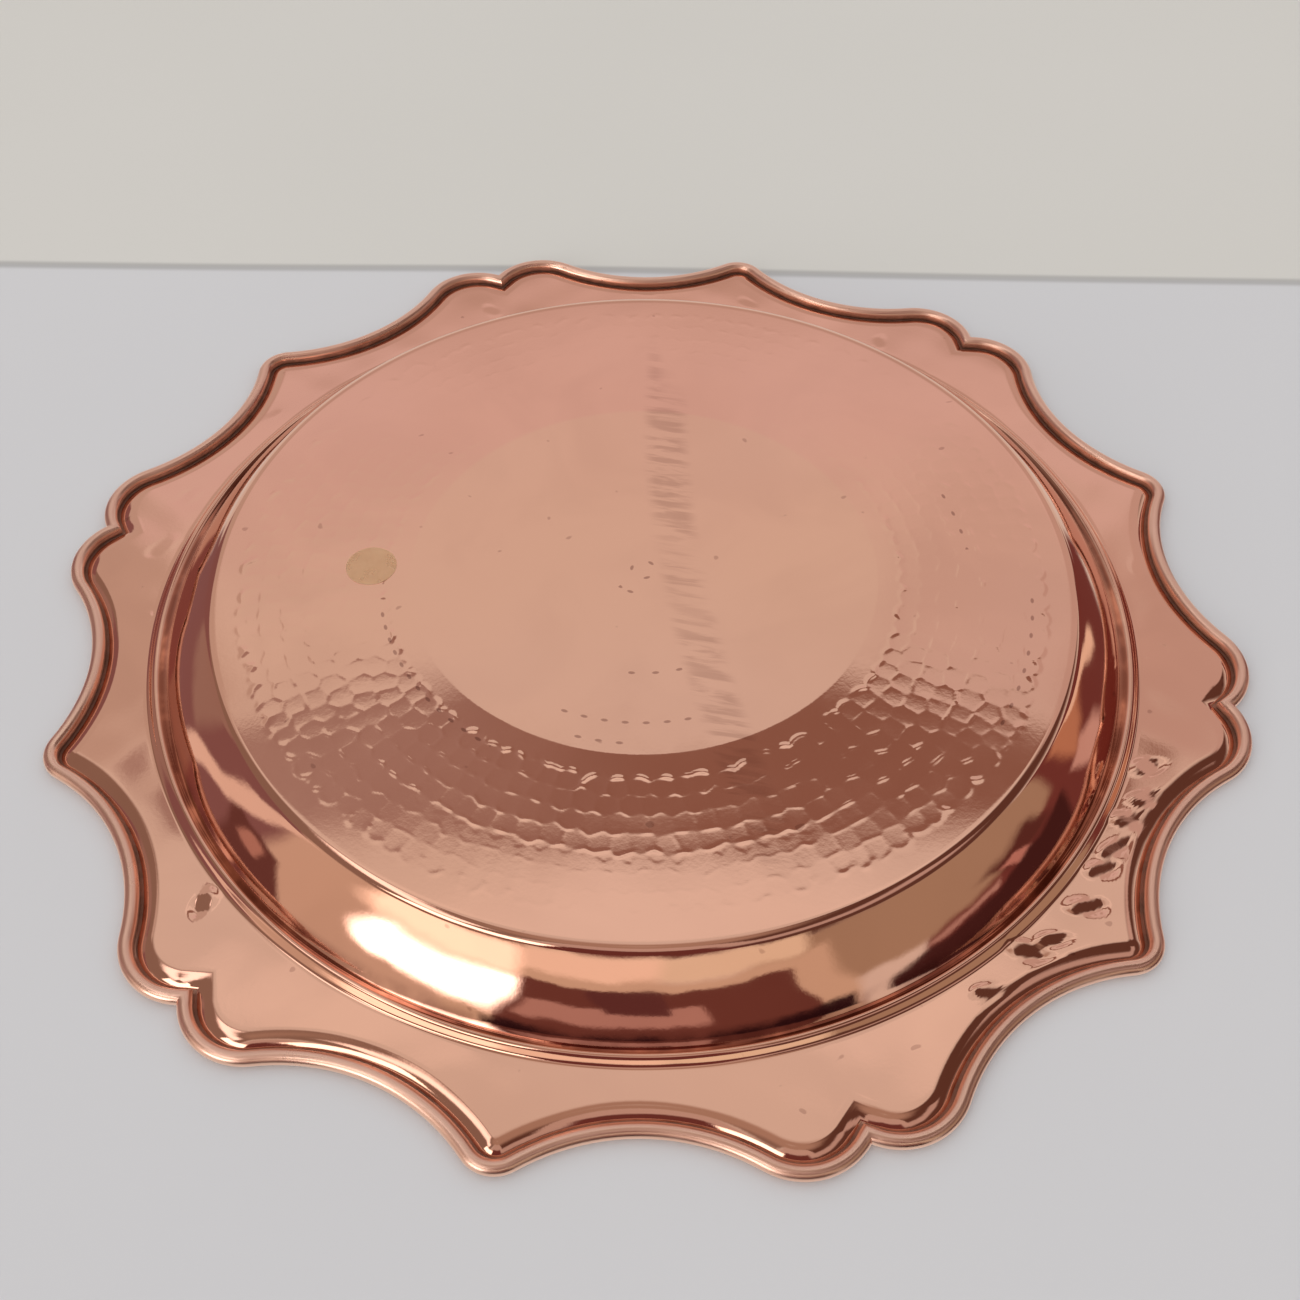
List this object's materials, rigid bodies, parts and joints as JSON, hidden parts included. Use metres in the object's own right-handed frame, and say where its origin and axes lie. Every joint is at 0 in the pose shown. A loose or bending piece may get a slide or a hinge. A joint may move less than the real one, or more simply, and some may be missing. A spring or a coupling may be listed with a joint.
{
  "type": "serving tray",
  "caption": "Round copper serving tray, lying upside down: flat hammered bottom, sloping wall and a wide scalloped brim with a rolled edge.",
  "frame": {"origin": "on the surface that the rolled edge rests on, under the centre of the tray; the tray lies upside down", "axes": "+Z out of the underside of the tray; +X towards the notch of one of the six double lobes, a pointed tip on +Y"},
  "size_m": [0.3762, 0.3728, 0.0245],
  "materials": {
    "copper": "polished copper with a planished ring",
    "wire": "drawn wire",
    "label": "yellowed see-through film"
  },
  "bodies": {
    "root": {"hammered_sheet": "copper", "rim_wire": "wire", "round_label": "label"}
  },
  "joints": []
}
